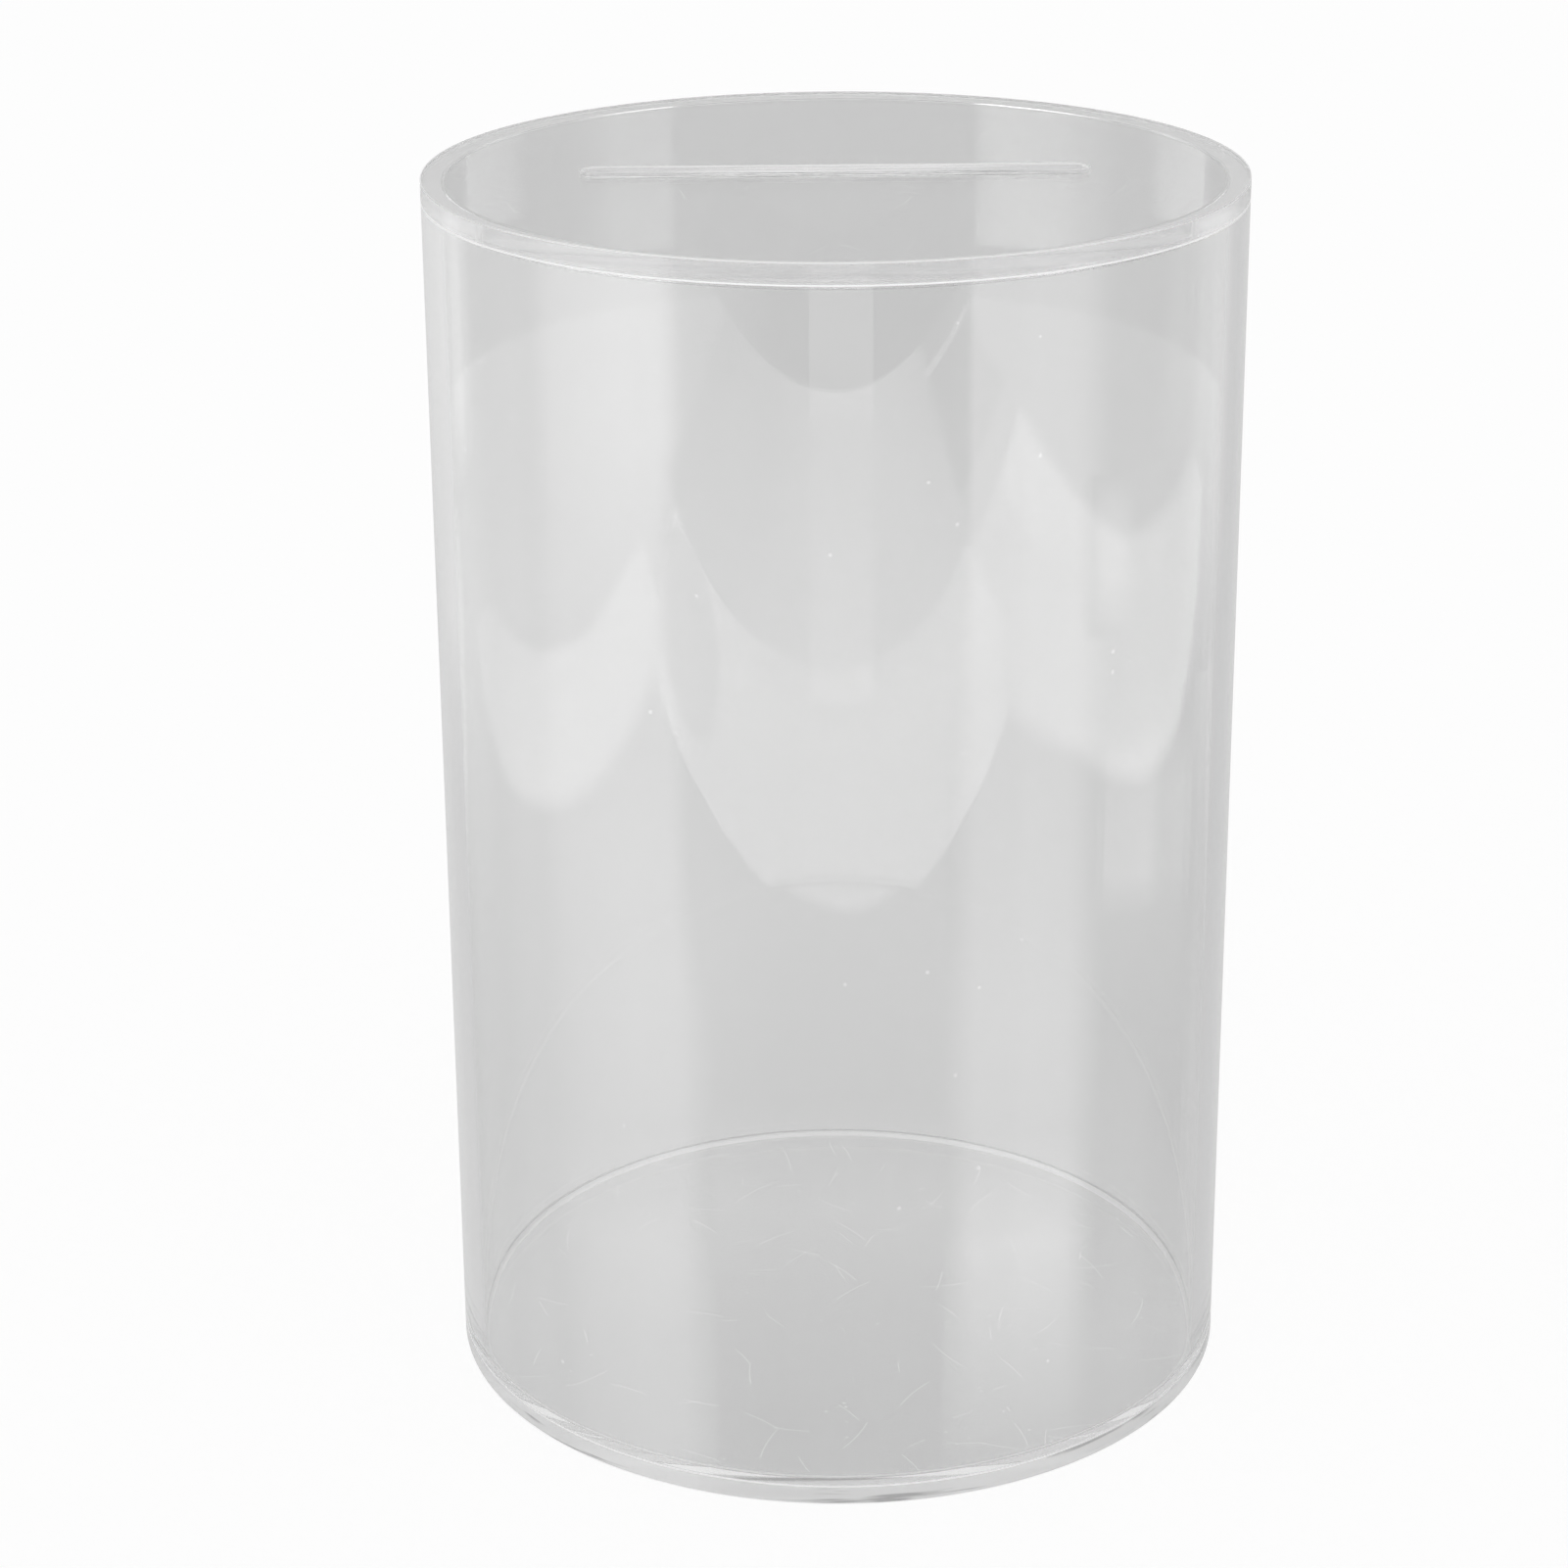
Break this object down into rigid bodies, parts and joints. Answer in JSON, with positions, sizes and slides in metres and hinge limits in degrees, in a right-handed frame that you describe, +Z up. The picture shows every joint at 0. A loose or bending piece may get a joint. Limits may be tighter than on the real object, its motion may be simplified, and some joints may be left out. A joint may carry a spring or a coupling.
{
  "type": "ballot box",
  "caption": "Upright round see-through box: a clear tube on a clear base disc, with a loose slotted lid that a locating disc keeps centred on the rim.",
  "frame": {"origin": "middle of the underside of the base disc", "axes": "+Z up along the tube's axis, +X along the slot in the lid"},
  "size_m": [0.2, 0.2, 0.31],
  "materials": {
    "clear_tube": "clear extruded acrylic, glossy inside and out, with satin sawn rims",
    "clear_sheet": "clear acrylic sheet, glossy faces with finely sawn edges"
  },
  "bodies": {
    "box": {"base_disc": "clear_sheet", "tube_wall": "clear_tube"},
    "lid": {"lid_disc": "clear_sheet", "lid_locating_disc": "clear_sheet"}
  },
  "joints": [
    {"name": "lid_lift", "type": "slide", "parent": "box", "child": "lid", "axis": [0, 0, 1], "range_m": [0, 0.1]}
  ]
}
